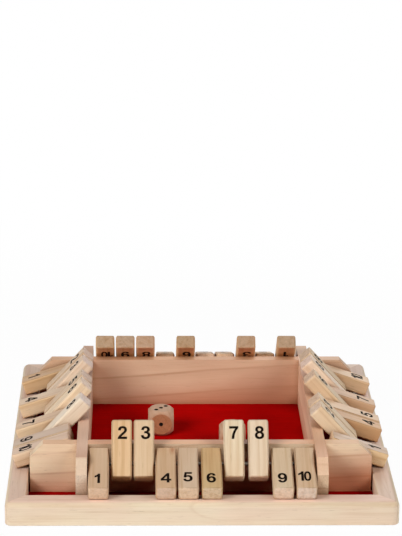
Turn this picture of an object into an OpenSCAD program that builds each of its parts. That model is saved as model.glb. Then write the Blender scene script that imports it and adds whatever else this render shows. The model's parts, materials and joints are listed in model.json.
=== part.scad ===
// Shut the box game for four players, in pine.
// A square tray is divided by four cross-lapped walls. Ten number tiles hang on a metal rod
// along each side, and two dice lie in the pit in the middle. Each lowered tile rests on the
// rail of the tray, and each raised tile leans on the wall behind it.
// Millimetres, +Z up, origin at the centre of the underside, front of the game towards -Y.

/* [Tiles] */
// Tiles on each side of the game
tiles_per_row = 10; // [4:1:10]
// Width of a tile, along its rod
tile_width = 12; // [9:0.5:16]
// Length of a tile, from its inner end to its free end
tile_length = 35.5; // [32:0.5:40]
// Thickness of a tile
tile_thickness = 9.1; // [7:0.1:11]
// Distance from the inner end of a tile to its rod
tile_hinge = 9.6; // [7:0.1:12]
// Play along the rod that each tile of the front row has
tile_gap = 1.3; // [0.8:0.1:2.5]
// Radius of the corners of a tile's two numbered faces
tile_corner = 1.7; // [0.4:0.1:2.5]
// Radius of a tile's four long edges
tile_long_edge = 1.5; // [0.3:0.1:2]
// Radius of the edges across a tile's two ends
tile_edge = 1.2; // [0.3:0.1:1.6]

/* [Rods] */
// Diameter of a rod
rod_diameter = 2; // [1.5:0.1:3]
// Radial clearance of a rod in its tiles
rod_fit = 0.08; // [0.02:0.01:0.1]
// Depth of a rod below the top of the walls
rod_drop = 7.1; // [5.5:0.1:9]
// Depth of the blind holes that hold the ends of a rod
rod_socket = 4.5; // [3:0.1:5.5]
// Gap between the end of a rod and the bottom of its hole
rod_end_gap = 0.2; // [0.1:0.1:0.5]

/* [Walls] */
// Thickness of the walls
wall_thickness = 6.5; // [6:0.1:9]
// Height of the walls above the base board
wall_height = 30.5; // [28:0.5:36]
// Length that is cut off the top corners of the walls
ear_cut_length = 7.7; // [4:0.1:12]
// Height that is cut off the top corners of the walls
ear_cut_height = 8; // [4:0.1:12]
// Gap between the ends of the walls and the rails
ear_gap = 1; // [0.2:0.1:2]
// Play in the width of the slots where the walls cross
lap_fit = 0.1; // [0.05:0.05:0.4]

/* [Tray] */
// Height of the rails
rail_height = 14.4; // [11:0.1:18]
// Width of the rails
rail_width = 11.8; // [9:0.1:18]
// Radius of the rails' outer top edges
rail_edge = 3.6; // [0.5:0.1:4]
// Radius of the rails' inner top edges
rail_inner_edge = 0.7; // [0.3:0.1:2]
// Radius of the rails' outer bottom edges
rail_foot_edge = 0.8; // [0.3:0.1:2]
// Radius of the tray's upright corners
tray_corner = 4; // [4:0.5:7]
// Thickness of the base board
base_thickness = 3; // [2:0.5:5]
// Height of the base board above the table
base_lift = 0.5; // [0.3:0.1:1.5]
// Depth of the rabbet in the rails that holds the base board
rabbet_depth = 5; // [3:0.5:7]
// Gap round the edge of the base board in its rabbet
base_fit = 0.1; // [0:0.05:0.5]

/* [Clearances] */
// Gap between the walls and the inner corners of a swinging tile
swing_gap = 2.3; // [0.5:0.1:4]
// Length of a lowered tile's end that lies over the rail
bearing_length = 7.85; // [4:0.05:9]
// Gap between a resting tile and the rail or wall that it rests on
rest_gap = 0.2; // [0.1:0.05:0.4]
// Gap between raised tiles of neighbouring rows, at the corners of the pit
corner_gap = 0.6; // [0.3:0.1:2]

/* [Dice] */
// Width of a die across its flats
die_size = 16; // [12:0.5:19]
// Diameter of the round flats of a die
die_flat = 13.4; // [11:0.1:15]
// Diameter of a pip
pip_diameter = 2.6; // [1.5:0.1:2.8]
// Depth of a pip
pip_depth = 0.5; // [0.3:0.1:1]
// Distance between neighbouring pips in a row
pip_spacing = 3; // [2.8:0.1:4]

/* [Hidden] */
// Sides of the game, anticlockwise from the front as seen from above
SIDES = ["front", "right", "back", "left"];
SIDE_COUNT = len(SIDES);
FRONT = 0;
// Numbers of the tiles that stand raised on each side
RAISED_NUMBERS = [[2, 3, 7, 8], [2, 3, 6, 8, 9], [1, 3, 6, 8, 9, 10], [2, 3, 5, 6, 8]];
// How far tiles have slid to the right along their rod, as shares of the room at its ends
FRONT_SLIDE_SHARES = [0, 0, -0.6, -1.6, -2.2, -1.8, -1.8, -0.3, 0, 0];
LEFT_SLIDE_SHARES = [-0.65, 0, 0, 0, 0, 0, 0, 0, 0, 0];
NO_SLIDE_SHARES = [0, 0, 0, 0, 0, 0, 0, 0, 0, 0];
SLIDE_SHARES = [FRONT_SLIDE_SHARES, NO_SLIDE_SHARES, NO_SLIDE_SHARES, LEFT_SLIDE_SHARES];
// Places of the two dice on the floor of the pit, as shares of half its width, and their turns
DIE_A_SHARE = [-0.343, 0.301];
DIE_A_TURN = [0, 0, 0];
DIE_B_SHARE = [0.316, -0.09];
DIE_B_TURN = [90, 0, 90];

PINE = "#e8d2ab";
PINE_SHADE = "#dcc09a";
RED_PAINT = "#8c1210";
STEEL = "#b9bbbd";
CUT = 1;
ARC = 48;

// Heights
floor_top = base_lift + base_thickness;
wall_top = floor_top + wall_height;
rod_height = wall_top - rod_drop;

// Distances from the centre of the tray
pit_half = tiles_per_row * (tile_width + tile_gap) / 2;
wall_middle = pit_half + wall_thickness / 2;
wall_face = pit_half + wall_thickness;
swing_radius = norm([tile_hinge, tile_thickness / 2]);
rod_out = swing_radius + swing_gap;
rod_middle = wall_face + rod_out;

// A tile from its rod to the middle of the rounding at its free end
tile_reach = tile_length - tile_hinge;
reach_to_edge = tile_reach - tile_edge;
half_to_edge = tile_thickness / 2 - tile_edge;

// Slope of a lowered tile, whose rounded lower edge rests on the rail
rest_drop = rod_height - rail_height - rest_gap - tile_edge;
down_angle = asin(rest_drop / norm([reach_to_edge, half_to_edge])) - atan2(half_to_edge, reach_to_edge);

// Lean of a raised tile from upright, where its underside rests on the wall's outer top edge
up_angle = acos((tile_thickness / 2 + rest_gap) / norm([rod_out, rod_drop])) - atan2(rod_drop, rod_out);
lean_reach = tile_reach * sin(up_angle) + tile_thickness / 2 * cos(up_angle) - rod_out;

// The tray reaches as far as the lowered tiles need
tile_end_out = rod_out + reach_to_edge * cos(down_angle) - half_to_edge * sin(down_angle) + tile_edge;
rail_inner = wall_face + tile_end_out - bearing_length;
tray_half = rail_inner + rail_width;
wall_half = rail_inner - ear_gap;
base_half = rail_inner + rabbet_depth - base_fit;

// The end tiles of the other rows stay clear of the walls beside them, and of the raised end
// tiles of the front row
front_pitch = tile_width + tile_gap;
corner_room = max(wall_thickness + tile_gap / 2, lean_reach + corner_gap);
other_pitch = (2 * (wall_face - corner_room) - tile_width) / (tiles_per_row - 1);

rod_length = 2 * (pit_half + rod_socket - rod_end_gap);
die_sphere = norm([die_size, die_flat]) / 2;
pip_sphere = (pow(pip_diameter / 2, 2) + pow(pip_depth, 2)) / (2 * pip_depth);

function is_raised(side, n) = len([for (r = RAISED_NUMBERS[side]) if (r == n) r]) > 0;
function row_pitch(side) = side == FRONT ? front_pitch : other_pitch;
function end_room(side) = pit_half - ((tiles_per_row - 1) * row_pitch(side) + tile_width) / 2;
function tile_place(side, n) =
    (n - (tiles_per_row + 1) / 2) * row_pitch(side) + SLIDE_SHARES[side][n - 1] * end_room(side);
function tile_tilt(side, n) = is_raised(side, n) ? -90 - up_angle : down_angle;

// Children drawn for the front are turned to another side of the game
module on_side(side) {
    rotate([0, 0, side * 360 / SIDE_COUNT])
        children();
}

// A rectangle in the middle of its axes, with round corners
module rounded_rectangle(width, height, radius) {
    square([width - 2 * radius, height], center = true);
    square([width, height - 2 * radius], center = true);
    for (x = [-1, 1], y = [-1, 1])
        translate([x * (width / 2 - radius), y * (height / 2 - radius)])
            circle(r = radius, $fn = ARC);
}

// A square board that lies in the rabbet of the four rails
module base_board() {
    color(RED_PAINT)
        translate([-base_half, -base_half, base_lift])
            cube([2 * base_half, 2 * base_half, base_thickness]);
}

// Section of a rail: distance from its outer face, then height
module rail_section() {
    difference() {
        rounded_side(rail_width);
        translate([rail_width - rabbet_depth, -CUT])
            square([rabbet_depth + CUT, floor_top + CUT]);
        translate([rail_width, rail_height])
            mirror([1, 0])
                corner_waste(rail_inner_edge);
    }
}

// A rectangle as high as a rail, with the roundings of the tray's outer side on its left
module rounded_side(width) {
    difference() {
        square([width, rail_height]);
        translate([0, rail_height])
            corner_waste(rail_edge);
        mirror([0, 1])
            corner_waste(rail_foot_edge);
    }
}

// What a rounding takes off a corner at the origin, below and to the right of it
module corner_waste(radius) {
    difference() {
        translate([-CUT, -radius])
            square([radius + CUT, radius + CUT]);
        translate([radius, -radius])
            circle(r = radius, $fn = ARC);
    }
}

// The front rail, mitred at both ends
module frame_rail() {
    color(PINE)
        difference() {
            translate([-tray_half, -tray_half, 0])
                rotate([90, 0, 90])
                    linear_extrude(2 * tray_half)
                        rail_section();
            for (side = [0, 1])
                mirror([side, 0, 0])
                    rail_end_waste();
        }
}

// What the mitre and the tray's round upright corner take off the left end of the front rail
module rail_end_waste() {
    translate([0, 0, -CUT])
        linear_extrude(rail_height + 2 * CUT)
            polygon([
                [-tray_half - CUT, -tray_half - CUT],
                [-rail_inner + CUT, -rail_inner + CUT],
                [-tray_half - CUT, -rail_inner + CUT]
            ]);
    difference() {
        translate([-tray_half - CUT, -tray_half - CUT, -CUT])
            cube([tray_corner + CUT, tray_corner + CUT, rail_height + 2 * CUT]);
        translate([-tray_half + tray_corner, -tray_half + tray_corner, 0])
            tray_corner_post();
    }
}

// The upright corner of the tray as a round post, with the rails' roundings at its top and foot
module tray_corner_post() {
    rotate_extrude($fn = ARC)
        intersection() {
            square([tray_corner, rail_height]);
            translate([tray_corner, 0])
                mirror([1, 0])
                    rounded_side(tray_corner);
        }
}

// Outline of a wall between two opposite rails, with its top corners cut off
module wall_outline() {
    polygon([
        [-wall_half, floor_top],
        [wall_half, floor_top],
        [wall_half, wall_top - ear_cut_height],
        [wall_half - ear_cut_length, wall_top],
        [-wall_half + ear_cut_length, wall_top],
        [-wall_half, wall_top - ear_cut_height]
    ]);
}

// The wall behind the front row of tiles. The left and right walls are slotted from below and
// run through on top of the front and back walls, which are slotted from above.
module wall(side) {
    slot_bottom = side % 2 == 0 ? floor_top + wall_height / 2 : floor_top - CUT;
    slot_height = wall_height / 2 + CUT;
    color(PINE_SHADE)
        difference() {
            translate([0, -pit_half, 0])
                rotate([90, 0, 0])
                    linear_extrude(wall_thickness)
                        wall_outline();
            for (end = [-1, 1]) {
                translate([end * wall_middle - (wall_thickness + lap_fit) / 2, -wall_face - CUT, slot_bottom])
                    cube([wall_thickness + lap_fit, wall_thickness + 2 * CUT, slot_height]);
                translate([end * rod_middle, -pit_half - rod_socket, rod_height])
                    rotate([-90, 0, 0])
                        cylinder(d = rod_diameter, h = rod_socket + CUT, $fn = ARC);
            }
        }
}

// The rod of the front row, held in the left and right walls
module rod() {
    color(STEEL)
        translate([-rod_length / 2, -rod_middle, rod_height])
            rotate([0, 90, 0])
                cylinder(d = rod_diameter, h = rod_length, $fn = ARC);
}

// A tile that lies level, with its rod along X at the origin and its free end towards -Y
module tile_body() {
    difference() {
        intersection() {
            translate([0, tile_hinge - tile_length / 2, -tile_thickness / 2])
                linear_extrude(tile_thickness)
                    rounded_rectangle(tile_width, tile_length, tile_corner);
            translate([-tile_width, tile_hinge - tile_length / 2, 0])
                rotate([90, 0, 90])
                    linear_extrude(2 * tile_width)
                        rounded_rectangle(tile_length, tile_thickness, tile_edge);
            translate([0, tile_length, 0])
                rotate([90, 0, 0])
                    linear_extrude(2 * tile_length)
                        rounded_rectangle(tile_width, tile_thickness, tile_long_edge);
        }
        translate([-tile_width, 0, 0])
            rotate([0, 90, 0])
                cylinder(r = rod_diameter / 2 + rod_fit, h = 2 * tile_width, $fn = ARC);
    }
}

// Tile n of one side, counted from the left by the player on that side
module tile(side, n) {
    color(PINE)
        on_side(side)
            translate([tile_place(side, n), -rod_middle, rod_height])
                rotate([tile_tilt(side, n), 0, 0])
                    tile_body();
}

// Places of the pips on a face, for each count from one to six
function pip_places(count) = concat(
    count % 2 == 1 ? [[0, 0]] : [],
    count > 1 ? [[-1, -1], [1, 1]] : [],
    count > 3 ? [[-1, 1], [1, -1]] : [],
    count == 6 ? [[-1, 0], [1, 0]] : []
);

// Hollows of the pips on the top face
module pips(count) {
    for (place = pip_places(count))
        translate([place.x * pip_spacing, place.y * pip_spacing, die_size / 2 + pip_sphere - pip_depth])
            sphere(r = pip_sphere, $fn = ARC);
}

// A die with its centre at the origin, three on top and one in front
module die_body() {
    difference() {
        intersection() {
            cube(die_size, center = true);
            sphere(r = die_sphere, $fn = ARC);
        }
        pips(3);
        rotate([180, 0, 0])
            pips(4);
        rotate([90, 0, 0])
            pips(1);
        rotate([-90, 0, 0])
            pips(6);
        rotate([0, 90, 0])
            pips(5);
        rotate([0, -90, 0])
            pips(2);
    }
}

module die(share, turn) {
    color(PINE)
        translate([share.x * pit_half, share.y * pit_half, floor_top + die_size / 2])
            rotate(turn)
                die_body();
}

base_board();
for (i = [0:SIDE_COUNT - 1]) {
    on_side(i) frame_rail();
    on_side(i) wall(i);
    on_side(i) rod();
    for (n = [1:tiles_per_row]) {
        tile(i, n);
    }
}
die(DIE_A_SHARE, DIE_A_TURN);  // die_a
die(DIE_B_SHARE, DIE_B_TURN);  // die_b
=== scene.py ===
"""Looks of a wooden shut the box game for four players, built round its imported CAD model."""

import json
import math

import bpy
import numpy as np
from mathutils import Euler, Matrix, Vector
from mathutils.geometry import tessellate_polygon


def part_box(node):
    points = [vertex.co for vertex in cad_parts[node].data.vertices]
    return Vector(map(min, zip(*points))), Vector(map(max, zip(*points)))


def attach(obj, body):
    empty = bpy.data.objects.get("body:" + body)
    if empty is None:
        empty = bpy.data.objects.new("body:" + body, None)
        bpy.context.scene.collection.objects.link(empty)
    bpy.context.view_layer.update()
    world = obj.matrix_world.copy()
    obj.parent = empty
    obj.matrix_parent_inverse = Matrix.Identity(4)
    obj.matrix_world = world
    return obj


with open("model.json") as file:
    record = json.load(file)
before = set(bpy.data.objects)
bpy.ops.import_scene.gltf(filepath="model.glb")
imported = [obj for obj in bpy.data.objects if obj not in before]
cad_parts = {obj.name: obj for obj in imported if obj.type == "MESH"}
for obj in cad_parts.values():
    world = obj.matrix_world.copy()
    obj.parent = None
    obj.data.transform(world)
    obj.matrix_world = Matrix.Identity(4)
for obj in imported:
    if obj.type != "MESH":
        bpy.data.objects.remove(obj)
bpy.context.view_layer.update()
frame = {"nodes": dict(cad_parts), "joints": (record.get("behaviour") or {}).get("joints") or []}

MM = 0.001  # sizes are in millimetres up to the floor, lights and camera, which are in metres
SIDES = ("front", "right", "back", "left")
FRONT, RIGHT, BACK, LEFT = range(4)
LOWERED, RAISED = False, True
TILES_IN_ROW = 10
TILE_THICKNESS = 9.1
DOWN_ANGLE = math.radians(18.7198)  # slope of a lowered tile
UP_ANGLE = math.radians(42.425)  # lean of a raised tile
DIE_SIZE = 16.0
DIE_TURNS = {"die_a": (0, 0, 0), "die_b": (90, 0, 90)}  # degrees about X, Y and Z

WHOLE_OBJECT = Matrix.Identity(4)
WHITE = (1, 1, 1, 1)
UNCHANGED = (1.0, 1.0, 1.0)  # a tone multiplies a colour, and this one leaves it as it is


def times(*tones):
    """The product of colours and tones, channel by channel."""
    return tuple(math.prod(channel) for channel in zip(*tones))


def turn_by(degrees):
    """The matrix of a turn about X, Y and Z."""
    return Euler([math.radians(d) for d in degrees]).to_matrix().to_4x4()


def add_object(name, data):
    """A new object in the scene."""
    made = bpy.data.objects.new(name, data)
    bpy.context.scene.collection.objects.link(made)
    return made


# ---------------------------------------------------------------- node helpers

MIX_FACTOR, MIX_A, MIX_B, MIX_RESULT = 0, 6, 7, 2  # the sockets of a Mix node that are for colours


def emptied(block):
    """The node tree of a new material or world, without the nodes that it comes with."""
    block.use_nodes = True
    block.node_tree.nodes.clear()
    return block.node_tree


def node(tree, kind, inputs=None, **settings):
    """Adds a node. Each input is a value, a socket, or a node, whose first output is used."""
    made = tree.nodes.new("ShaderNode" + kind)
    for key, value in settings.items():
        setattr(made, key, value)
    for key, value in (inputs or {}).items():
        socket = made.inputs[key]
        if isinstance(value, bpy.types.Node):
            tree.links.new(value.outputs[0], socket)
        elif isinstance(value, bpy.types.NodeSocket):
            tree.links.new(value, socket)
        else:
            socket.default_value = value
    return made


def new_tree(name):
    """A new material with its node tree and its shader, which is linked to the output."""
    material = bpy.data.materials.new(name)
    tree = emptied(material)
    shader = node(tree, "BsdfPrincipled")
    node(tree, "OutputMaterial", {"Surface": shader})
    return material, tree, shader


def math_node(tree, operation, *values):
    return node(tree, "Math", dict(enumerate(values)), operation=operation)


def vector_math(tree, operation, *values):
    return node(tree, "VectorMath", dict(enumerate(values)), operation=operation)


def scaled(tree, vector, scale):
    return vector_math(tree, "MULTIPLY", vector, scale)


def noise(tree, vector, scale, detail, roughness):
    """Noise whose features are about 1/scale millimetres, with one scale for each axis."""
    return node(
        tree,
        "TexNoise",
        {"Vector": scaled(tree, vector, scale), "Scale": 1.0, "Detail": detail, "Roughness": roughness},
    )


def ramp(tree, value, stops):
    """A smooth colour ramp. Each stop is (place, grey) or (place, (r, g, b))."""
    made = node(tree, "ValToRGB", {"Fac": value})
    made.color_ramp.interpolation = "EASE"
    elements = made.color_ramp.elements
    while len(elements) < len(stops):
        elements.new(0.5)
    for element, (place, colour) in zip(elements, stops):
        element.position = place
        rgb = colour if isinstance(colour, tuple) else (colour,) * 3
        element.color = (*rgb, 1)
    return made


def mix(tree, factor, a, b, blend="MIX"):
    """Mixes two colours, each (r, g, b), a socket or a node. Gives the socket of the result."""
    a, b = ((*colour, 1) if isinstance(colour, tuple) else colour for colour in (a, b))
    inputs = {MIX_FACTOR: factor, MIX_A: a, MIX_B: b}
    made = node(tree, "Mix", inputs, data_type="RGBA", blend_type=blend, clamp_factor=True)
    return made.outputs[MIX_RESULT]


def local_coordinates(tree, place):
    """Millimetres and normal in a piece's own axes, where place is the matrix of these."""
    where = node(tree, "TexCoord")
    turn = place.to_euler("XYZ")
    point = node(
        tree,
        "Mapping",
        {
            "Vector": where.outputs["Object"],
            "Location": place.to_translation(),
            "Rotation": turn,
            "Scale": (MM, MM, MM),
        },
        vector_type="TEXTURE",
    )
    normal = node(
        tree,
        "VectorRotate",
        {"Vector": where.outputs["Normal"], "Rotation": turn},
        rotation_type="EULER_XYZ",
        invert=True,
    )
    return point.outputs[0], normal.outputs[0]


def darkened_gaps(tree, colour, reach, samples, stops):
    """Paints shade into gaps and inner corners, by the share of a point's surroundings that is open.

    reach is how far away these surroundings end, in millimetres. The stops give a tone for each share.
    """
    open_share = node(tree, "AmbientOcclusion", {"Distance": reach * MM}, samples=samples)
    return mix(tree, 1.0, colour, ramp(tree, open_share.outputs["AO"], stops), "MULTIPLY")


def wire(tree, shader, finish, colour, pattern, height):
    """Links a shader's colour, roughness and bumps, and sets its uniform values.

    The finish has how far the pattern changes the roughness, the roughness where it is 0, the
    strength of the bumps of this height, their depth in millimetres, and the uniform values.
    """
    change, least, strength, depth, uniform = finish
    rough_map = math_node(tree, "MULTIPLY_ADD", pattern, change, least)
    bump = node(tree, "Bump", {"Height": height, "Strength": strength, "Distance": depth * MM})
    tree.links.new(colour, shader.inputs["Base Color"])
    tree.links.new(rough_map.outputs[0], shader.inputs["Roughness"])
    tree.links.new(bump.outputs[0], shader.inputs["Normal"])
    for name, value in uniform.items():
        shader.inputs[name].default_value = value


def seen_or_mirrored(tree):
    """1 where a ray comes from the camera, from a reflection or through glass, and else 0."""
    path = node(tree, "LightPath")
    mirrored = math_node(tree, "MAXIMUM", path.outputs["Is Glossy Ray"], path.outputs["Is Transmission Ray"])
    return math_node(tree, "MAXIMUM", path.outputs["Is Camera Ray"], mirrored)


# ------------------------------------------------------------------------ wood

BARE_WOOD = (0.22, 0.39, 0.25, 0.05, {"Specular IOR Level": 0.15})
SEED_STEP = (37.1, 113.7, 71.3)  # how far apart two pieces are cut from the patterns
# each pattern's scale across, along and up the grain, its detail and its roughness
WAVES = ((0.035, 0.012, 0.035), 2.0, 0.5)
FIBRES = ((1.7, 0.06, 1.7), 4.0, 0.6)
STREAKS = ((0.4, 0.011, 0.4), 3.0, 0.5)
STAINS = ((0.04, 0.018, 0.04), 2.0, 0.5)
FLECKS = ((2.4, 0.14, 2.4), 1.0, 0.5)
SPECKLES = ((1.0, 0.3, 1.0), 3.0, 0.7)
# how a growth ring goes from early to late wood, and how strong the patterns are from place to place
RING_PROFILE = [(0.0, 0.12), (0.08, 0.0), (0.5, 0.05), (0.84, 0.34), (0.93, 1.0), (1.0, 0.12)]
STAIN_SHARE = [(0.34, 0.0), (0.66, 0.8)]
STREAK_TONES = [(0.3, (0.86, 0.78, 0.68)), (0.52, 1.0), (0.72, (1.05, 1.05, 1.06))]
FIBRE_TONES = [(0.3, (0.93, 0.9, 0.86)), (0.5, 1.0), (0.7, 1.03)]
FIBRE_STRENGTH = 0.7
FLECK_SHARE = [(0.71, 0.0), (0.79, 0.4)]
FLECK_TONE = (0.6, 0.6, 0.6)
SPECKLE_TONES = [(0.3, 0.84), (0.5, 1.0), (0.7, 1.09)]
# redder wood from the trunk's core, with painted red bounce light and shade low down: how far its border
# strays in millimetres, and how red it gets
HEART_AND_BOUNCE_MOTTLE, HEART_AND_BOUNCE_SHARE = 14.0, 0.85
# a knot: its shape, how ragged it is, how many radii it fades over, and its tone
KNOT_SHAPE, KNOT_RAGGED, KNOT_REACH = (1.0, 0.55, 0.0), 1.6, 2.5
KNOT_SHARE = [(0.3, 0.75), (0.6, 0.3), (1.0, 0.0)]
KNOT_TONE = (0.8, 0.55, 0.5)
# where faces, slopes, ends and edges begin, by the way that they look
FLAT = [(0.75, 0.0), (0.95, 1.0)]
SLOPING = [(0.15, 0.0), (0.4, 1.0), (0.85, 1.0), (0.97, 0.0)]
ENDWISE = [(0.6, 0.0), (0.9, 1.0)]
EDGED = [(0.8, 0.7), (0.97, 0.0)]
EDGE_RADIUS = 0.9  # how far in from an edge the wood is worn
EDGE_TONE = (0.95, 0.89, 0.82)
EARS_BEGIN = [(0.70, 0.0), (0.76, 1.0)]  # in tenths of a metre from the middle, as stops end at 1
GAP_SHADE_REACH = 8.0  # how wide a gap gets painted shade


def growth_rings(tree, place, wave, pith, ring, warp, lean, start):
    """Rings round the pith, wavy along the grain: 1 in late wood, and near 0 in early wood."""
    across, along, up = place
    level = math_node(tree, "MULTIPLY_ADD", along, -lean, up)
    dx = math_node(tree, "SUBTRACT", across, pith[0])
    dz = math_node(tree, "SUBTRACT", level, pith[1])
    squares = [math_node(tree, "MULTIPLY", d, d) for d in (dx, dz)]
    radius = math_node(tree, "SQRT", math_node(tree, "ADD", *squares))
    # the noise swings by about a quarter each way, so four times warp makes warp millimetres
    waved = math_node(tree, "MULTIPLY_ADD", wave, warp * 4, radius)
    turns = math_node(tree, "MULTIPLY_ADD", waved, 1.0 / ring, start)
    return ramp(tree, math_node(tree, "FRACT", turns), RING_PROFILE)


def heartwood(tree, colour, place, wave, heart_and_bounce):
    """Turns a board redder below a mottled, sloping border: partly wood from the trunk's core, partly painted
    red bounce light and shade near the floor.
    """
    begins, is_full, slope, red = heart_and_bounce
    _, along, up = place
    sloped = math_node(tree, "MULTIPLY_ADD", along, -slope, up)
    mottled = math_node(tree, "MULTIPLY_ADD", wave, HEART_AND_BOUNCE_MOTTLE, sloped)
    heights = {0: mottled, 1: begins, 2: is_full}
    depth = node(tree, "MapRange", heights, interpolation_type="SMOOTHSTEP")
    return mix(tree, math_node(tree, "MULTIPLY", depth, HEART_AND_BOUNCE_SHARE), colour, red)


def knotted(tree, colour, point, streak, knot, dark):
    """A ragged dark spot, longer along the grain than across it."""
    x, y, radius = knot
    offset = vector_math(tree, "SUBTRACT", point, (x, y, 0.0))
    distance = vector_math(tree, "LENGTH", scaled(tree, offset, KNOT_SHAPE)).outputs["Value"]
    ragged = math_node(tree, "MULTIPLY_ADD", streak, KNOT_RAGGED, distance)
    spot = ramp(tree, math_node(tree, "DIVIDE", ragged, radius * KNOT_REACH), KNOT_SHARE)
    return mix(tree, spot, colour, times(dark, KNOT_TONE))


def speckled(tree, speckle, tone):
    """The tone of sawn end grain, a little darker and lighter from place to place."""
    if not isinstance(tone, tuple):
        tone = (tone,) * 3
    return ramp(tree, speckle, [(at, times(tone, (by,) * 3)) for at, by in SPECKLE_TONES]).outputs[0]


def wood(
    name, place, seed, *, pale, warm, dark, pith, ring, rings, end,
    warp=3.0, lean=0.0, start=0.0, streaks=0.5, knot=None, heart_and_bounce=None,
    top=None, ear_top=None, rounded=None, foot=None, gap_shade=None,
):
    """Planed softwood whose grain runs along the piece's own Y axis.

    place is the matrix of the piece's own axes, and seed says where it is cut from the patterns.
    pale is the colour of early wood, dark that of late wood, and warm that of broad stains.
    pith is where the middle of the trunk was, in the piece's X and Z, and lean its slope along
    the piece. ring is the width of a growth ring in millimetres, start where the first begins,
    warp how wavy and rings how strong they are, and streaks how strong the streaks are. knot is
    the X, Y and radius of a dark spot. heart_and_bounce has the two heights between which the
    board turns redder, partly wood from the trunk's core and partly painted red bounce light and
    shade, the slope of that border and its colour.

    The others are tones. top is painted light and shade on the upper and lower face,
    ear_top the same on these faces beyond the crossings of the walls, rounded
    painted shade on edges that slope upwards, end for sawn ends, foot for the one at +Y where it
    differs, both end grain tones that also hold painted light and shade, and gap_shade painted
    shade in narrow gaps.
    """
    material, tree, shader = new_tree(name)
    point, normal = local_coordinates(tree, place)
    shifted = vector_math(tree, "ADD", point, tuple(seed * step for step in SEED_STEP))
    own_place = node(tree, "SeparateXYZ", {0: point}).outputs
    _, normal_along, normal_up = node(tree, "SeparateXYZ", {0: normal}).outputs

    wave = math_node(tree, "SUBTRACT", noise(tree, shifted, *WAVES), 0.5)
    late = growth_rings(tree, own_place, wave, pith, ring, warp, lean, start)
    fibre = noise(tree, shifted, *FIBRES)
    streak = noise(tree, shifted, *STREAKS)
    stain = noise(tree, shifted, *STAINS)
    fleck = noise(tree, shifted, *FLECKS)
    speckle = noise(tree, shifted, *SPECKLES)

    colour = mix(tree, math_node(tree, "MULTIPLY", late, rings), pale, dark)
    colour = mix(tree, ramp(tree, stain, STAIN_SHARE), colour, warm)
    # redder low down: wood from the trunk's core, and painted red bounce light and shade near the floor
    if heart_and_bounce:
        colour = heartwood(tree, colour, own_place, wave, heart_and_bounce)
    colour = mix(tree, streaks, colour, ramp(tree, streak, STREAK_TONES), "MULTIPLY")
    colour = mix(tree, FIBRE_STRENGTH, colour, ramp(tree, fibre, FIBRE_TONES), "MULTIPLY")
    colour = mix(tree, ramp(tree, fleck, FLECK_SHARE), colour, times(dark, FLECK_TONE))
    if knot:
        colour = knotted(tree, colour, point, streak, knot, dark)

    # faces and round edges get painted light and shade by the way they face, and sawn ends tones of their own
    # that also hold painted light and shade
    if ear_top:
        out = math_node(tree, "MULTIPLY", math_node(tree, "ABSOLUTE", own_place[1]), 10 * MM)
        top = mix(tree, ramp(tree, out, EARS_BEGIN), top, ear_top)
    if top:
        colour = mix(tree, ramp(tree, math_node(tree, "ABSOLUTE", normal_up), FLAT), colour, top, "MULTIPLY")
    if rounded:
        colour = mix(tree, ramp(tree, normal_up, SLOPING), colour, rounded, "MULTIPLY")
    ends = speckled(tree, speckle, end)
    if foot:
        ends = mix(tree, ramp(tree, normal_along, ENDWISE), ends, speckled(tree, speckle, foot))
    is_end = ramp(tree, math_node(tree, "ABSOLUTE", normal_along), ENDWISE)
    colour = mix(tree, is_end, colour, ends, "MULTIPLY")

    # edges are burnished by handling
    eased = node(tree, "Bevel", {"Radius": EDGE_RADIUS * MM}, samples=4)
    true_normal = node(tree, "NewGeometry").outputs["Normal"]
    facing = vector_math(tree, "DOT_PRODUCT", eased, true_normal).outputs["Value"]
    colour = mix(tree, ramp(tree, facing, EDGED), colour, EDGE_TONE, "MULTIPLY")

    # painted shade in narrow gaps and inner corners
    if gap_shade:
        colour = darkened_gaps(tree, colour, GAP_SHADE_REACH, 6, [(0.2, gap_shade), (0.7, 1.0)])
    height = math_node(tree, "MULTIPLY_ADD", late, 0.5, fibre)
    wire(tree, shader, BARE_WOOD, colour, fibre, height)
    return material


# ------------------------------------------------------------ paint, metal, ink

MATT_PAINT = (0.15, 0.82, 0.3, 0.06, {"Specular IOR Level": 0.02})
DRAWN_WIRE = (0.3, 0.3, 0.2, 0.02, {"Metallic": 1.0})
SUNK_INK = (0.3, 0.55, 0.2, 0.03, {"Specular IOR Level": 0.03})
RED, BRIGHT_RED, DUSTY_RED = (0.445, 0.0009, 0.0009), (0.53, 0.0011, 0.0011), (0.5, 0.02, 0.016)
# the wire's colours are darkened: painted shade of the gaps where the front rod is seen
WIRE_IN_PAINTED_SHADE, DULL_WIRE_IN_PAINTED_SHADE = (0.17, 0.145, 0.12), (0.11, 0.09, 0.075)
PRINT_BLACK, PIP_BLACK, THIN_INK = (0.011, 0.006, 0.004), (0.010, 0.007, 0.006), (0.16, 0.10, 0.06)
# each pattern's scale along X, Y and Z, its detail and its roughness
PAINT_GRAIN = ((0.03, 0.9, 0.9), 4.0, 0.6)
PAINT_CLOUDS = ((0.03, 0.03, 0.03), 3.0, 0.55)
PAINT_DUST = ((1.3, 1.3, 1.3), 2.0, 0.5)
WIRE_PATCHES = ((0.12, 0.12, 0.12), 3.0, 0.5)
WIRE_LINES = ((0.8, 0.8, 6.0), 3.0, 0.6)
INK_FIBRES = ((1.6, 1.6, 1.6), 4.0, 0.65)
PIT_SHADE_REACH = 25.0  # how far out the painted shade in the pit's corners reaches, in millimetres


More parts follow.
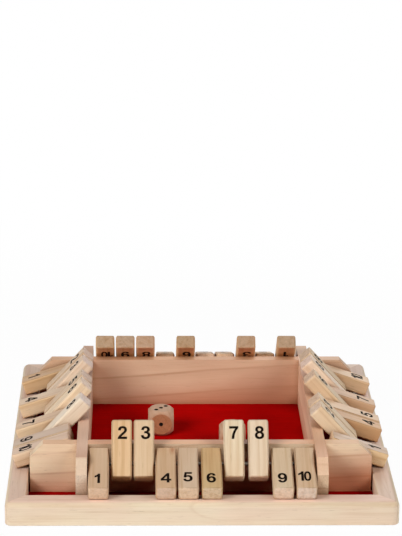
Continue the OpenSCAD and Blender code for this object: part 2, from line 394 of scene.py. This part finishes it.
def red_paint():
    """Thin matt red paint, with the wood's grain telegraphing through it, and painted shade in its corners.
    """
    material, tree, shader = new_tree("red_paint")
    point, _ = local_coordinates(tree, WHOLE_OBJECT)
    grain = noise(tree, point, *PAINT_GRAIN)
    cloud = noise(tree, point, *PAINT_CLOUDS)
    dust = noise(tree, point, *PAINT_DUST)
    colour = mix(tree, ramp(tree, cloud, [(0.3, 0.0), (0.7, 1.0)]), RED, BRIGHT_RED)
    grained = ramp(tree, grain, [(0.3, 0.84), (0.55, 1.0), (0.75, 1.1)])
    colour = mix(tree, 0.8, colour, grained, "MULTIPLY")
    colour = mix(tree, ramp(tree, dust, [(0.72, 0.0), (0.8, 0.06)]), colour, DUSTY_RED)
    # painted shade in the pit's corners and along its walls
    colour = darkened_gaps(tree, colour, PIT_SHADE_REACH, 8, [(0.2, 0.34), (0.65, 1.0)])
    wire(tree, shader, MATT_PAINT, colour, grain, grain)
    return material


def steel():
    """Bright drawn wire, with fine lines along it and a few dull patches; its colours are darkened with
    painted shade.
    """
    material, tree, shader = new_tree("steel_rod")
    point, _ = local_coordinates(tree, WHOLE_OBJECT)
    dull = noise(tree, point, *WIRE_PATCHES)
    lines = noise(tree, point, *WIRE_LINES)
    colour = mix(tree, ramp(tree, dull, [(0.4, 0.0), (0.7, 1.0)]), WIRE_IN_PAINTED_SHADE, DULL_WIRE_IN_PAINTED_SHADE)
    wire(tree, shader, DRAWN_WIRE, colour, dull, lines)
    return material


def ink(name, colour):
    """Black print or paint that has sunk a little into the wood, so the fibres thin it."""
    material, tree, shader = new_tree(name)
    point, _ = local_coordinates(tree, WHOLE_OBJECT)
    thin = noise(tree, point, *INK_FIBRES)
    colour = mix(tree, ramp(tree, thin, [(0.58, 0.0), (0.8, 0.35)]), colour, THIN_INK)
    wire(tree, shader, SUNK_INK, colour, thin, thin)
    return material


# --------------------------------------------------------- wood of the CAD nodes

RAIL_SEED, WALL_SEED, TILE_SEED, DIE_SEED = 1.3, 7.7, 20.0, 80.0
RAIL_EDGE, WALL_EDGE, TILE_EDGE = 0.25, 0.6, 0.3  # how wide the edges are softened
SHARP_ANGLE = math.radians(50)  # only edges over it are
WELD_REACH = 0.002  # joins the corners that facets share, before the edges are softened
# tone of the painted shade in narrow gaps
GAP_SHADE_TONE = (0.56, 0.43, 0.33)
# the walls' redder lower wood, with painted red bounce light and shade in it
HEARTWOOD_AND_BOUNCE = (0.53, 0.21, 0.105)

RAIL_WOOD = {
    "pale": (0.86, 0.72, 0.54), "warm": (0.83, 0.635, 0.48), "dark": (0.58, 0.34, 0.17),
    "ring": 7.5, "rings": 0.2, "warp": 5.0, "lean": 0.02,
    # the tone of the round top edges is painted shade
    "end": 0.9, "rounded": (0.92, 0.91, 0.86),
}
RAIL_TOP_SHADE = ((0.99, 0.895, 0.935), (0.87, 0.785, 0.82))  # painted shade on the tops of the front and back rail, and on those of the others

WALL_WOOD = {
    "dark": (0.50, 0.25, 0.13), "pith": (-70.0, -260.0), "warp": 0.8, "streaks": 0.25, "gap_shade": GAP_SHADE_TONE,
}
# each wall's colours, the slope and start of its growth rings, where it turns redder, partly wood from the
# trunk's core and partly painted red bounce light and shade, and the painted light and shade on its upper
# faces
WALLS = {
    FRONT: {
        "pale": (0.95, 0.77, 0.54), "warm": (0.84, 0.61, 0.42),
        "lean": -0.06, "start": 0.68, "ring": 13.2, "rings": 0.5,
        "heart_and_bounce": (27.0, -2.0, -0.08, (0.53, 0.15, 0.056)),
        "top": (0.91, 0.65, 0.56), "ear_top": (0.91, 0.76, 0.68), "end": 0.95,
    },
    RIGHT: {
        "pale": (0.93, 0.675, 0.47), "warm": (0.82, 0.515, 0.34),
        "lean": 0.03, "start": 0.1, "ring": 13.2, "rings": 0.5,
        "heart_and_bounce": (21.0, -6.0, 0.03, HEARTWOOD_AND_BOUNCE),
        "top": (0.92, 0.83, 0.785), "end": (0.79, 0.81, 0.785),
    },
    BACK: {
        "pale": (0.83, 0.58, 0.385), "warm": (0.74, 0.47, 0.305),
        "lean": 0.07, "start": 0.592, "ring": 14.8, "rings": 0.62,
        "heart_and_bounce": (26.0, -4.0, 0.057, HEARTWOOD_AND_BOUNCE),
        "top": (0.96, 0.84, 0.76), "ear_top": (1.06, 1.02, 1.0), "end": 0.95,
    },
    LEFT: {
        "pale": (0.84, 0.66, 0.48), "warm": (0.74, 0.52, 0.36),
        "lean": -0.02, "start": 0.8, "ring": 13.2, "rings": 0.5,
        "heart_and_bounce": (23.0, -4.0, -0.02, HEARTWOOD_AND_BOUNCE),
        "top": (0.90, 0.78, 0.78), "end": (0.96, 1.05, 1.15),
    },
}

TILE_PALE, TILE_WARM, TILE_DARK = (0.77, 0.60, 0.42), (0.74, 0.53, 0.35), (0.55, 0.33, 0.16)
# tones of the front row's tiles, and of their ends that are in view: end grain tones that also hold painted
# light and shade
FRONT_TONES = (
    (0.83, 0.76, 0.72), (0.98, 0.89, 0.75), (0.95, 0.92, 0.86), (0.84, 0.76, 0.69), (0.84, 0.80, 0.79),
    (0.81, 0.72, 0.54), (1.06, 1.13, 1.16), (1.03, 1.08, 1.14), (0.91, 0.92, 0.90), (0.89, 0.84, 0.80),
)
FRONT_END_GRAIN_AND_LIGHT = (
    (1.29, 1.34, 1.46), (0.68, 0.48, 0.36), (0.95, 0.75, 0.62), (1.21, 1.30, 1.56), (1.30, 1.30, 1.32),
    (1.21, 1.31, 1.67), (1.30, 1.10, 1.05), (1.30, 1.10, 1.05), (1.26, 1.24, 1.40), (1.27, 1.43, 1.80),
)
FREE_END = 0.95  # tone of the raised ones' free ends, seen from behind
# tones of the other rows' tiles, and painted light and shade that also count where a tile is lowered
ROW_TONES = {RIGHT: (1.12, 1.09, 1.05), BACK: (1.03, 0.85, 0.68), LEFT: (1.10, 1.08, 1.08)}
LOWERED_LIGHT_TONES = {RIGHT: (0.86, 0.76, 0.68), BACK: (1.12, 1.26, 1.5), LEFT: (0.97, 0.94, 0.92)}
# tiles of those rows that are given paler or darker tones than their neighbours
ODD_TONES = {
    (RIGHT, 1): (1.3, 1.45, 1.5), (RIGHT, 2): (1.09, 1.14, 1.2), (RIGHT, 4): (0.9, 0.77, 0.67),
    (RIGHT, 6): (1.06, 1.06, 1.0), (RIGHT, 7): (0.93, 0.84, 0.78), (RIGHT, 8): (1.26, 1.3, 1.5),
    (RIGHT, 10): (1.12, 1.1, 1.06), (LEFT, 1): (0.98, 0.9, 0.8), (LEFT, 3): (1.03, 1.07, 1.26),
    (LEFT, 4): (1.08, 1.13, 1.08), (LEFT, 6): (1.1, 1.16, 1.17), (LEFT, 8): (1.06, 1.18, 1.36),
    (LEFT, 9): (0.86, 0.9, 0.98),
}
ROW_ENDS = (0.98, 0.98, 1.12)
# end grain tones of the back row's tiles, with painted light on the lowered ones' ends and painted shade on
# the raised ones'
BACK_END_GRAIN_AND_LIGHT = {LOWERED: (1.2, 1.2, 1.25), RAISED: (0.71, 0.76, 0.92)}
# painted light and shade on the two numbered faces of a side row's tiles, and on one tile that differs
FACE_LIGHT_TONES = {
    (RIGHT, LOWERED): (1.23, 1.37, 1.58), (RIGHT, RAISED): (1.1, 1.17, 1.3),
    (LEFT, LOWERED): (1.0, 1.03, 1.17), (LEFT, RAISED): (1.03, 1.05, 1.09),
}
ODD_FACE_LIGHT = {(RIGHT, 1): (0.84, 0.90, 1.2)}
KNOTS = {(FRONT, 4): (4.0, 7.0, 1.5)}

DIE_WOOD = {
    "pale": (0.63, 0.41, 0.28), "warm": (0.60, 0.37, 0.24), "dark": (0.44, 0.23, 0.12),
    "pith": (-30.0, -22.0), "ring": 3.5, "rings": 0.45, "end": (0.77, 0.55, 0.40),
}

# ranges of what differs by chance from tile to tile
OWN_TONES, YELLOWS = (0.92, 1.04), (0.9, 1.06)
PITHS_ACROSS, PITHS_UP = (-60, 60), (-90, -25)
RING_WIDTHS, RING_STRENGTHS = (3.0, 7.0), (0.25, 0.6)

joints = {j["name"]: j for j in frame["joints"]}


def side_turn(side):
    return Matrix.Rotation(math.radians(90 * side), 4, "Z")


def tile_place(side, number):
    """Matrix of a tile's own axes, and whether it is raised.

    X is along the rod, -Y towards the tile's free end, and Z its thickness.
    """
    joint = joints[f"tile_{SIDES[side]}_{number}_flip"]
    raised = joint["range_deg"][0] < -1
    tilt = -math.pi / 2 - UP_ANGLE if raised else DOWN_ANGLE
    return Matrix.Translation(joint["pos_m"]) @ side_turn(side) @ Matrix.Rotation(tilt, 4, "X"), raised


def tile_tones(side, number, raised, own, yellow):
    """Tones of a tile's wood, of its ends, and of the one by the rod where that differs; the front and back
    rows' end tones and the lowered tiles' tones also hold painted light and shade.
    """
    if side == FRONT:
        tone, seen_end_and_light = FRONT_TONES[number - 1], FRONT_END_GRAIN_AND_LIGHT[number - 1]
        return (tone, FREE_END, seen_end_and_light) if raised else (tone, seen_end_and_light, None)
    # the lowered tone is painted light and shade
    tone = times(
        (own,) * 3,
        ROW_TONES[side],
        UNCHANGED if raised else LOWERED_LIGHT_TONES[side],
        ODD_TONES.get((side, number), UNCHANGED),
        (1.0, 1.0, yellow),
    )
    return tone, BACK_END_GRAIN_AND_LIGHT[raised] if side == BACK else ROW_ENDS, None


def die_middle(name):
    low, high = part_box(name)
    return Matrix.Translation((low + high) / 2)


def dress(name, material, bevel=0.0, segments=2):
    """Gives a CAD node its material, and softens its sharp edges by bevel millimetres."""
    piece = frame["nodes"][name]
    piece.data.materials.clear()
    piece.data.materials.append(material)
    if bevel:
        weld = piece.modifiers.new("weld", "WELD")
        weld.merge_threshold = WELD_REACH * MM
        soft = piece.modifiers.new("soft_edges", "BEVEL")
        soft.width = bevel * MM
        soft.segments = segments
        soft.limit_method = "ANGLE"
        soft.angle_limit = SHARP_ANGLE
        soft.harden_normals = False


# the front rod, seen in the gaps beside its tiles, is drawn wire darkened with painted shade, and the others
# keep the CAD's grey
cad_steel = bpy.data.materials["steel_rod"]
rod_steels = (steel(), cad_steel, cad_steel, cad_steel)
along_x = Matrix.Rotation(math.radians(90), 4, "Z")
for side, name in enumerate(SIDES):
    turned = side_turn(side) @ along_x
    # the rails' upper faces get painted shade
    rail = wood(
        f"pine_rail_{name}", turned, RAIL_SEED + side,
        pith=(60.0 + 7 * side, -75.0), top=RAIL_TOP_SHADE[side % 2], **RAIL_WOOD,
    )
    wall = wood(f"pine_wall_{name}", turned, WALL_SEED + side, **WALL_WOOD, **WALLS[side])
    dress(f"frame_rail_{name}", rail, RAIL_EDGE)
    dress(f"wall_{name}", wall, WALL_EDGE, 3)
    dress(f"rod_{name}", rod_steels[side])

dress("base_board", red_paint())

tile_places = {}
rng = np.random.default_rng(20)
for side, name in enumerate(SIDES):
    for number in range(1, TILES_IN_ROW + 1):
        place, raised = tile_place(side, number)
        tile_places[side, number] = place
        # front tiles take these draws too, though two go unused, so that the others stay as they are
        own, yellow = rng.uniform(*OWN_TONES), rng.uniform(*YELLOWS)
        pith = (rng.uniform(*PITHS_ACROSS), rng.uniform(*PITHS_UP))
        ring, rings = rng.uniform(*RING_WIDTHS), rng.uniform(*RING_STRENGTHS)
        # the tones of the ends in view also hold painted light and shade
        tone, end, foot = tile_tones(side, number, raised, own, yellow)
        # the numbered faces of a side row's tiles get painted light and shade
        tile_wood = wood(
            f"pine_tile_{name}_{number}", place, TILE_SEED + side * TILES_IN_ROW + number,
            pale=times(TILE_PALE, tone), warm=times(TILE_WARM, tone), dark=TILE_DARK,
            pith=pith, ring=ring, rings=rings, streaks=0.8, knot=KNOTS.get((side, number)),
            top=ODD_FACE_LIGHT.get((side, number), FACE_LIGHT_TONES.get((side, raised))),
            end=end, foot=foot, gap_shade=GAP_SHADE_TONE,
        )
        dress(f"tile_{name}_{number}", tile_wood, TILE_EDGE)

for count, name in enumerate(DIE_TURNS):
    dress(name, wood(f"die_wood_{name}", die_middle(name), DIE_SEED + count, **DIE_WOOD))


# ---------------------------------------------------------------------- numbers

BOLD = 0.018  # how far the outlines below are moved out, in digit heights
ROUND_STEPS = 36  # corners of a round outline
CURVE_STEPS = 5  # lines between two points of a curve
BLUNTEST = 0.55  # keeps a sharp corner from moving out too far


def ellipse(x, y, rx, ry, power=2.0):
    """An ellipse, or a squarer one where power is over 2."""
    points = []
    for i in range(ROUND_STEPS):
        a = 2 * math.pi * i / ROUND_STEPS
        c, s = math.cos(a), math.sin(a)
        points.append(
            (
                x + rx * math.copysign(abs(c) ** (2 / power), c),
                y + ry * math.copysign(abs(s) ** (2 / power), s),
            )
        )
    return points


def counter(x, y, rx, ry, power=2.0):
    """The round hole in a digit."""
    return ellipse(x, y, rx - BOLD, ry - BOLD, power)


def moved_out(points, by):
    """Points of an outline, moved outwards by a distance, or inwards where it is negative."""
    count = len(points)
    flat = [Vector(p[:2]) for p in points]
    turn = sum(flat[i - 1].cross(flat[i]) for i in range(count))
    moved = []
    for i in range(count):
        before = (flat[i] - flat[i - 1]).normalized()
        after = (flat[(i + 1) % count] - flat[i]).normalized()
        normals = [Vector((d.y, -d.x)) for d in (before, after)]
        middle = (normals[0] + normals[1]).normalized()
        reach = math.copysign(by, turn * by) / max(BLUNTEST, middle.dot(normals[0]))
        moved.append((*(flat[i] + middle * reach), *points[i][2:]))
    return moved


def curve_point(before, a, b, after, t):
    """A point of the smooth curve from a to b, at the share t of the way."""
    return 0.5 * (
        2 * a
        + (b - before) * t
        + (2 * before - 5 * a + 4 * b - after) * t * t
        + (3 * a - before - 3 * b + after) * t * t * t
    )


def outline(points, by=BOLD):
    """A closed line through points, curved except at those with a third value, its corners."""
    points = moved_out(points, by)
    corners = [i for i, p in enumerate(points) if len(p) > 2]
    plain = [Vector(p[:2]) for p in points]
    count = len(points)
    made = []
    for i in range(count):
        j = (i + 1) % count
        a, b = plain[i], plain[j]
        made.append(a)
        if i in corners and j in corners:
            continue
        before = plain[i - 1] if i not in corners else a
        after = plain[(i + 2) % count] if j not in corners else b
        made += [curve_point(before, a, b, after, k / CURVE_STEPS) for k in range(1, CURVE_STEPS)]
    return [tuple(p) for p in made]


K = 1  # marks a corner
# each digit's width and its outline, then its holes, in digit heights
GLYPHS = {
    "0": (
        0.64,
        [ellipse(0.32, 0.4925, 0.32 + BOLD, 0.5075 + BOLD, 2.4),
         counter(0.32, 0.4925, 0.155, 0.36, 2.2)],
    ),
    "1": (
        0.38,
        [outline([(0.215, 0, K), (0.38, 0, K), (0.38, 1, K), (0.25, 1, K), (0.19, 0.89), (0.10, 0.815),
                  (0, 0.77, K), (0, 0.615, K), (0.12, 0.665), (0.215, 0.74, K)])],
    ),
    "2": (
        0.68,
        [outline([(0.68, 0, K), (0.68, 0.155, K), (0.235, 0.155, K), (0.30, 0.245), (0.44, 0.375),
                  (0.58, 0.51), (0.65, 0.62), (0.67, 0.72), (0.645, 0.84), (0.575, 0.935), (0.47, 0.985),
                  (0.35, 1.0), (0.22, 0.98), (0.12, 0.925), (0.055, 0.83), (0.03, 0.70, K), (0.20, 0.685, K),
                  (0.225, 0.79), (0.28, 0.845), (0.35, 0.86), (0.43, 0.84), (0.485, 0.79), (0.50, 0.715),
                  (0.475, 0.62), (0.38, 0.51), (0.23, 0.375), (0.11, 0.25), (0.03, 0.12), (0, 0, K)])],
    ),
    "3": (
        0.68,
        [outline([(0.0, 0.265, K), (0.035, 0.145), (0.11, 0.05), (0.21, 0.0), (0.33, -0.015), (0.47, 0.01),
                  (0.59, 0.08), (0.66, 0.18), (0.68, 0.295), (0.655, 0.415), (0.585, 0.495), (0.49, 0.535, K),
                  (0.575, 0.595), (0.63, 0.67), (0.64, 0.745), (0.615, 0.855), (0.545, 0.94), (0.44, 0.985),
                  (0.325, 1.0), (0.21, 0.98), (0.115, 0.925), (0.055, 0.84), (0.025, 0.735, K),
                  (0.19, 0.705, K), (0.22, 0.80), (0.265, 0.85), (0.33, 0.865), (0.40, 0.85), (0.45, 0.805),
                  (0.465, 0.735), (0.44, 0.655), (0.375, 0.61), (0.265, 0.595, K), (0.245, 0.45, K),
                  (0.34, 0.46), (0.425, 0.43), (0.485, 0.37), (0.505, 0.295), (0.485, 0.205), (0.425, 0.145),
                  (0.335, 0.125), (0.25, 0.145), (0.195, 0.205), (0.17, 0.285, K)])],
    ),
    "4": (
        0.76,
        [outline([(0.455, 0, K), (0.62, 0, K), (0.62, 0.215, K), (0.76, 0.215, K), (0.76, 0.365, K),
                  (0.62, 0.365, K), (0.62, 1, K), (0.475, 1, K), (0, 0.375, K), (0, 0.215, K),
                  (0.455, 0.215, K)]),
         outline([(0.455, 0.365, K), (0.455, 0.73, K), (0.175, 0.365, K)], -BOLD)],
    ),
    "5": (
        0.66,
        [outline([(0, 0.245, K), (0.035, 0.13), (0.11, 0.045), (0.21, 0.0), (0.32, -0.015), (0.47, 0.015),
                  (0.59, 0.10), (0.65, 0.215), (0.665, 0.335), (0.64, 0.47), (0.575, 0.575), (0.475, 0.64),
                  (0.36, 0.66), (0.27, 0.645), (0.20, 0.615, K), (0.235, 0.83, K), (0.615, 0.83, K),
                  (0.615, 0.985, K), (0.11, 0.985, K), (0.02, 0.45, K), (0.165, 0.42, K), (0.225, 0.49),
                  (0.32, 0.52), (0.41, 0.495), (0.47, 0.43), (0.49, 0.335), (0.475, 0.23), (0.415, 0.155),
                  (0.32, 0.125), (0.235, 0.145), (0.185, 0.195), (0.165, 0.265, K)])],
    ),
    "6": (
        0.665,
        [outline([(0.645, 0.75, K), (0.61, 0.865), (0.53, 0.955), (0.39, 1.0), (0.24, 0.975), (0.11, 0.885),
                  (0.025, 0.72), (0, 0.48), (0.02, 0.27), (0.09, 0.105), (0.20, 0.015), (0.345, -0.015),
                  (0.48, 0.01), (0.59, 0.095), (0.65, 0.21), (0.665, 0.325), (0.645, 0.45), (0.58, 0.56),
                  (0.48, 0.63), (0.37, 0.65), (0.26, 0.62), (0.165, 0.54, K), (0.185, 0.69), (0.235, 0.80),
                  (0.30, 0.85), (0.375, 0.865), (0.44, 0.82), (0.48, 0.735, K)]),
         counter(0.34, 0.32, 0.155, 0.19)],
    ),
    "7": (
        0.66,
        [outline([(0, 0.83, K), (0, 0.985, K), (0.66, 0.985, K), (0.66, 0.86, K), (0.545, 0.715),
                  (0.44, 0.50), (0.375, 0.27), (0.345, 0, K), (0.175, 0, K), (0.20, 0.22), (0.26, 0.44),
                  (0.35, 0.65), (0.465, 0.83, K)])],
    ),
    "8": (
        0.665,
        [outline([(0.50, 0.535), (0.59, 0.475), (0.645, 0.39), (0.665, 0.285), (0.64, 0.155), (0.565, 0.055),
                  (0.455, 0.0), (0.333, -0.015), (0.21, 0.0), (0.10, 0.055), (0.025, 0.155), (0, 0.285),
                  (0.02, 0.39), (0.075, 0.475), (0.165, 0.535), (0.085, 0.595), (0.045, 0.66), (0.035, 0.735),
                  (0.06, 0.85), (0.13, 0.94), (0.225, 0.985), (0.333, 1.0), (0.44, 0.985), (0.535, 0.94),
                  (0.605, 0.85), (0.63, 0.735), (0.62, 0.66), (0.58, 0.595)]),
         counter(0.333, 0.73, 0.14, 0.13), counter(0.333, 0.29, 0.17, 0.165)],
    ),
}
GLYPHS["9"] = (0.665, [[(0.665 - x, 0.985 - y) for x, y in line] for line in GLYPHS["6"][1]])

DIGIT_HEIGHT = 7.7
DIGIT_GAP = 0.045  # between the digits of a number, in digit heights
ZERO_WIDTH = 0.8  # the 0 of 10 is narrower
INK = 0.035  # half the thickness of the print

# how far a number is from the rod, by row, in the front row by tile, and on a tile's lower face
NUMBER_OUT = {FRONT: 17.3, RIGHT: 17.3, BACK: 16.1, LEFT: 17.3}
ODD_NUMBER_OUT = {
    (FRONT, 1): 17.4, (FRONT, 4): 17.0, (FRONT, 5): 16.1,
    (FRONT, 6): 17.0, (FRONT, 9): 17.1, (FRONT, 10): 15.7,
}
LOWER_NUMBER_OUT = 17.65
# numbers that stand off the middle of their tile, on its upper face and on its lower face
UPPER_SHIFTS = {
    (FRONT, 1): -0.55, (FRONT, 5): -0.3, (FRONT, 6): -0.45, (FRONT, 9): -0.5, (FRONT, 10): -0.9,
    (BACK, 3): -0.65, (BACK, 6): -0.65, (BACK, 8): -0.6, (BACK, 10): -1.1,
}
LOWER_SHIFTS = {(FRONT, 2): 0.35, (FRONT, 3): 1.0, (FRONT, 8): 0.7}


def number_lines(text):
    """Outlines of each digit of a number, centred on the origin, in digit heights."""
    x, glyphs = 0.0, []
    for char in text:
        width, lines = GLYPHS[char]
        by = ZERO_WIDTH if char == "0" else 1.0
        glyphs.append([[(x + px * by, py) for px, py in line] for line in lines])
        x += width * by + DIGIT_GAP
    middle = (x - DIGIT_GAP) / 2
    return [[[(px - middle, py - 0.5) for px, py in line] for line in lines] for lines in glyphs]


def print_number(vertices, faces, text, place, at):
    """Adds a number to a mesh, as thin closed plates on a face: place turns the page onto the face."""
    for lines in number_lines(text):
        flat = [[Vector((x, y, 0)) for x, y in line] for line in lines]
        points = [p for line in flat for p in line]
        count = len(points)
        base = len(vertices)
        for z in (INK, -INK):
            for p in points:
                vertices.append(place @ Vector((p.x * DIGIT_HEIGHT + at[0], p.y * DIGIT_HEIGHT + at[1], z)))
        for a, b, c in tessellate_polygon(flat):
            area = (points[b] - points[a]).cross(points[c] - points[a]).z
            if area < 0:
                a, c = c, a
            faces.append((base + a, base + b, base + c))
            faces.append((base + count + c, base + count + b, base + count + a))
        start = 0
        for line in flat:
            n = len(line)
            turn = sum(line[i].x * line[(i + 1) % n].y - line[(i + 1) % n].x * line[i].y for i in range(n))
            is_hole = line is not flat[0]
            forward = (turn > 0) != is_hole
            for i in range(n):
                a, b = base + start + i, base + start + (i + 1) % n
                if not forward:
                    a, b = b, a
                faces.append((b, a, a + count, b + count))
            start += n


def mesh_piece(name, vertices, faces, material, body):
    """A piece made of a mesh, which rides a body."""
    mesh = bpy.data.meshes.new(name)
    mesh.from_pydata([tuple(v) for v in vertices], [], faces)
    mesh.validate()
    mesh.update()
    mesh.materials.append(material)
    piece = add_object(name, mesh)
    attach(piece, body)


printing_ink = ink("printing_ink", PRINT_BLACK)
half = TILE_THICKNESS / 2
upper_face = Matrix.Translation((0, 0, half))
lower_face = Matrix.Rotation(math.pi, 4, "X") @ Matrix.Translation((0, 0, half))
for (side, number), place in tile_places.items():
    tile = side, number
    upper_spot = UPPER_SHIFTS.get(tile, 0.0), -ODD_NUMBER_OUT.get(tile, NUMBER_OUT[side])
    lower_spot = LOWER_SHIFTS.get(tile, 0.0), LOWER_NUMBER_OUT
    to_mm = place @ Matrix.Scale(MM, 4)
    vertices, faces = [], []
    print_number(vertices, faces, str(number), to_mm @ upper_face, upper_spot)
    print_number(vertices, faces, str(number), to_mm @ lower_face, lower_spot)
    body = f"tile_{SIDES[side]}_{number}"
    mesh_piece(f"printed_number_{SIDES[side]}_{number}", vertices, faces, printing_ink, body)


# --------------------------------------------------------------------- die pips

PIP_RADIUS, PIP_DEPTH, PIP_SPACING = 1.3, 0.5, 3.0
PIP_RINGS, PIP_SPOKES = 5, 28
PAINT = 0.03  # half the thickness of the paint
PIP_PLACES = {
    1: [(0, 0)],
    2: [(-1, -1), (1, 1)],
    3: [(0, 0), (-1, -1), (1, 1)],
    4: [(-1, -1), (1, 1), (-1, 1), (1, -1)],
    5: [(0, 0), (-1, -1), (1, 1), (-1, 1), (1, -1)],
    6: [(-1, -1), (1, 1), (-1, 1), (1, -1), (-1, 0), (1, 0)],
}
# how a die's upper face turns to each of its faces, by the number of their pips
DIE_FACES = {3: (0, 0, 0), 4: (180, 0, 0), 1: (90, 0, 0), 6: (-90, 0, 0), 5: (0, 90, 0), 2: (0, -90, 0)}


def pip_paint(vertices, faces, place):
    """Paint in one hollow: a closed shell that follows its bowl."""
    sphere = (PIP_RADIUS**2 + PIP_DEPTH**2) / (2 * PIP_DEPTH)
    centre = sphere - PIP_DEPTH
    spread = math.asin(PIP_RADIUS / sphere)
    base = len(vertices)
    for shell in (PAINT, -PAINT):
        radius = sphere - shell
        vertices.append(place @ Vector((0, 0, centre - radius)))
        for ring in range(1, PIP_RINGS + 1):
            a = spread * ring / PIP_RINGS
            for k in range(PIP_SPOKES):
                b = 2 * math.pi * k / PIP_SPOKES
                x, y = radius * math.sin(a) * math.cos(b), radius * math.sin(a) * math.sin(b)
                vertices.append(place @ Vector((x, y, centre - radius * math.cos(a))))
    size = 1 + PIP_RINGS * PIP_SPOKES
    for shell in (0, 1):
        o = base + shell * size
        for k in range(PIP_SPOKES):
            n = (k + 1) % PIP_SPOKES
            tri = (o, o + 1 + k, o + 1 + n)
            faces.append(tri if shell == 0 else tri[::-1])
            for ring in range(PIP_RINGS - 1):
                p, q = o + 1 + ring * PIP_SPOKES, o + 1 + (ring + 1) * PIP_SPOKES
                quad = (p + k, q + k, q + n, p + n)
                faces.append(quad if shell == 0 else quad[::-1])
    rim = base + 1 + (PIP_RINGS - 1) * PIP_SPOKES
    for k in range(PIP_SPOKES):
        n = (k + 1) % PIP_SPOKES
        faces.append((rim + k, size + rim + k, size + rim + n, rim + n))


pip_black = ink("pip_paint", PIP_BLACK)
for name, degrees in DIE_TURNS.items():
    place = die_middle(name) @ turn_by(degrees) @ Matrix.Scale(MM, 4)
    vertices, faces = [], []
    for count, face_turn in DIE_FACES.items():
        for x, y in PIP_PLACES[count]:
            spot = Matrix.Translation((x * PIP_SPACING, y * PIP_SPACING, DIE_SIZE / 2))
            pip_paint(vertices, faces, place @ turn_by(face_turn) @ spot)
    mesh_piece(f"pips_{name}", vertices, faces, pip_black, name)


# ---------------------------------------------------- floor, lights, world, camera

FLOOR_REACH = 3.0
PAPER = (0.88, 0.88, 0.88, 1)
FLOOR_FADE = [(0.2, 0.97), (0.5, 1.0)]  # share of white by the distance from the middle in metres
WORLD_LIGHT = 0.02
LIT_MIDDLE = Vector((0, 0, 0.02))
# azimuth and elevation in degrees, distance and size in metres, and watts
SOFTBOXES = {
    "key_softbox": (-48, 35, 1.2, 0.55, 10.0),
    "fill_softbox": (48, 33, 1.2, 0.55, 6.4),
    "back_softbox": (165, 20, 1.4, 0.6, 4.8),
}
# the photograph's viewpoint, fitted to the object's edges
PHOTO_LONG_SIDE, FOCAL_PIXELS = 536, 2249.53
SENSOR_WIDTH = 36.0
CAMERA_AT = (-0.0360, -1.2927, 0.5457)
CAMERA_PITCH, CAMERA_YAW, CAMERA_ROLL = (math.radians(a) for a in (18.281, -1.634, 0.577))


def stage_floor():
    """A paper floor that keeps the object's shadow, and fades to white further out."""
    mesh = bpy.data.meshes.new("floor")
    corners = [(x * FLOOR_REACH, y * FLOOR_REACH, 0) for x, y in ((-1, -1), (1, -1), (1, 1), (-1, 1))]
    mesh.from_pydata(corners, [], [(0, 1, 2, 3)])
    floor = add_object("floor", mesh)
    material = bpy.data.materials.new("pale_floor")
    tree = emptied(material)
    paper = node(tree, "BsdfDiffuse", {"Color": PAPER})
    white = node(tree, "Emission", {"Color": WHITE, "Strength": 1.0})
    far = vector_math(tree, "LENGTH", node(tree, "TexCoord").outputs["Object"])
    white_share = ramp(tree, far.outputs["Value"], FLOOR_FADE)
    share = math_node(tree, "MULTIPLY", seen_or_mirrored(tree), white_share)
    both = node(tree, "MixShader", {0: share, 1: paper, 2: white})
    node(tree, "OutputMaterial", {"Surface": both})
    mesh.materials.append(material)


def white_world():
    """White where the camera and reflections look, and a plain soft light elsewhere."""
    world = bpy.data.worlds.new("studio")
    bpy.context.scene.world = world
    tree = emptied(world)
    soft = node(tree, "Background", {"Color": WHITE, "Strength": WORLD_LIGHT})
    white = node(tree, "Background", {"Color": WHITE, "Strength": 1.0})
    both = node(tree, "MixShader", {0: seen_or_mirrored(tree), 1: soft, 2: white})
    node(tree, "OutputWorld", {"Surface": both})


def softbox(name, azimuth, elevation, distance, size, power):
    """A square lamp aimed at the object: azimuth 0 is in front of it, and 90 on its right."""
    a, e = math.radians(azimuth), math.radians(elevation)
    away = Vector((math.sin(a) * math.cos(e), -math.cos(a) * math.cos(e), math.sin(e)))
    at = LIT_MIDDLE + away * distance
    lamp = bpy.data.lights.new(name, "AREA")
    lamp.shape = "RECTANGLE"
    lamp.size = lamp.size_y = size
    lamp.energy = power
    box = add_object(name, lamp)
    box.location = at
    box.rotation_euler = (LIT_MIDDLE - at).to_track_quat("-Z", "Y").to_euler()


def add_camera():
    """The photograph's viewpoint."""
    cos, sin = math.cos, math.sin
    forward = Vector(
        (
            -sin(CAMERA_YAW) * cos(CAMERA_PITCH),
            cos(CAMERA_YAW) * cos(CAMERA_PITCH),
            -sin(CAMERA_PITCH),
        )
    )
    level = Vector((cos(CAMERA_YAW), sin(CAMERA_YAW), 0))
    upright = level.cross(forward)
    right = cos(CAMERA_ROLL) * level + sin(CAMERA_ROLL) * upright
    up = cos(CAMERA_ROLL) * upright - sin(CAMERA_ROLL) * level
    data = bpy.data.cameras.new("camera")
    data.sensor_width = SENSOR_WIDTH
    data.lens = SENSOR_WIDTH * FOCAL_PIXELS / PHOTO_LONG_SIDE
    data.clip_start, data.clip_end = 0.05, 20.0
    camera = add_object("camera", data)
    axes = Matrix((right, up, -forward)).transposed().to_4x4()
    camera.matrix_world = Matrix.Translation(CAMERA_AT) @ axes
    bpy.context.scene.camera = camera


stage_floor()
white_world()
for name, settings in SOFTBOXES.items():
    softbox(name, *settings)
add_camera()
bpy.context.scene.view_settings.view_transform = "Standard"
